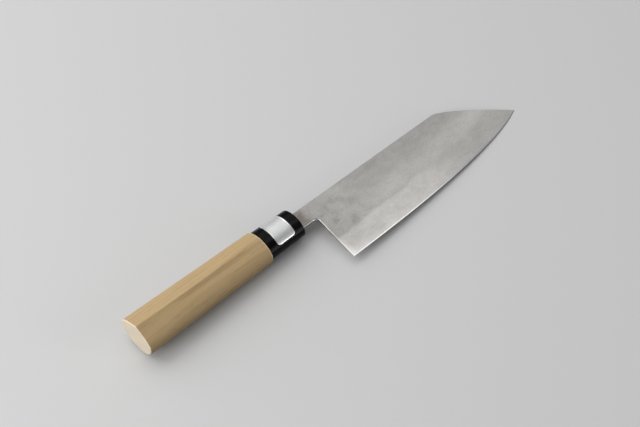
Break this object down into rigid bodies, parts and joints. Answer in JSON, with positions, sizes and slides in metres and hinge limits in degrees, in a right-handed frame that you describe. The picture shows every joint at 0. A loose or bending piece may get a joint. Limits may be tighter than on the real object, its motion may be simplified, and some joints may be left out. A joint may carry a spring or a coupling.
{
  "type": "santoku knife",
  "caption": "Kitchen knife for slicing and chopping: tall laminated blade with an angled point and a flat edge, in a ridged pale wood handle with a black oval ferrule.",
  "frame": {"origin": "middle of the flat butt end of the handle, on the handle's axis", "axes": "+X along the handle from the butt to the point, +Y towards the spine, +Z out of the blade's right face, which lies up in the picture"},
  "size_m": [0.2971, 0.0553, 0.0215],
  "materials": {
    "hard_steel": "fine polish along the edge",
    "soft_steel": "hazy satin, rubbed along the blade",
    "magnolia_wood": "sanded, fine straight grain",
    "black_resin": "polished",
    "foil": "bright foil",
    "tang_resin": "set hard"
  },
  "bodies": {
    "root": {"blade_core": "hard_steel", "cladding_right": "soft_steel", "cladding_left": "soft_steel", "handle": "magnolia_wood", "ferrule": "black_resin", "ferrule_label": "foil", "tang_resin": "tang_resin"}
  },
  "joints": []
}
